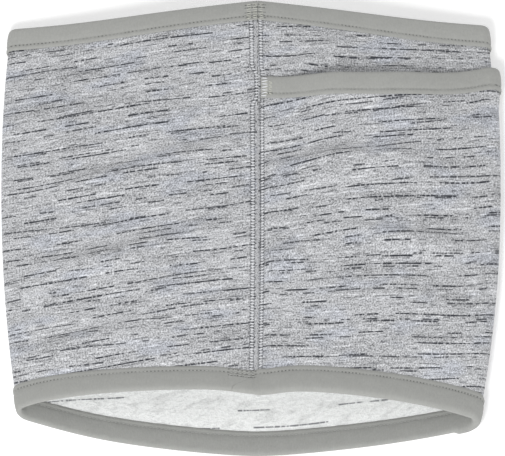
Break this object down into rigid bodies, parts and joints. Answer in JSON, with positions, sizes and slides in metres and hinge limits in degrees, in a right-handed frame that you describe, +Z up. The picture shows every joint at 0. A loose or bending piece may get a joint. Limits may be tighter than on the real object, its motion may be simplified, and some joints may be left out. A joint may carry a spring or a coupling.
{
  "type": "neck gaiter",
  "caption": "Pull-on knit neck tube with a brushed inner face, taped edges, a front flat seam and a bound side pocket, lying on its back.",
  "frame": {"origin": "on the surface the part lies on, under the middle of its outer box", "axes": "+X to the side with the pocket, +Y along the tube towards its top edge, +Z up out of the front"},
  "size_m": [0.2722, 0.2614, 0.0565],
  "materials": {
    "melange_knit": "heathered knit face, matt",
    "brushed_fleece": "brushed fleece inner face, matt",
    "binding_tape": "smooth stretch jersey tape, satin",
    "seam_thread": "polyester sewing thread"
  },
  "bodies": {
    "root": {"body_panel": "melange_knit", "pocket_panel": "melange_knit", "top_binding": "binding_tape", "bottom_binding": "binding_tape", "pocket_binding": "binding_tape", "seam_needle_thread_left": "seam_thread", "seam_needle_thread_right": "seam_thread", "seam_cover_thread": "seam_thread", "seam_looper_thread": "seam_thread", "top_stitch_outer": "seam_thread", "top_stitch_inner": "seam_thread", "bottom_stitch_outer": "seam_thread", "bottom_stitch_inner": "seam_thread", "pocket_stitch_outer": "seam_thread", "pocket_stitch_inner": "seam_thread", "pocket_rear_stitch_outer": "seam_thread", "pocket_rear_stitch_inner": "seam_thread", "top_bartack": "seam_thread", "pocket_front_bartack": "seam_thread", "pocket_rear_bartack": "seam_thread", "bottom_join_stitches": "seam_thread"}
  },
  "joints": []
}
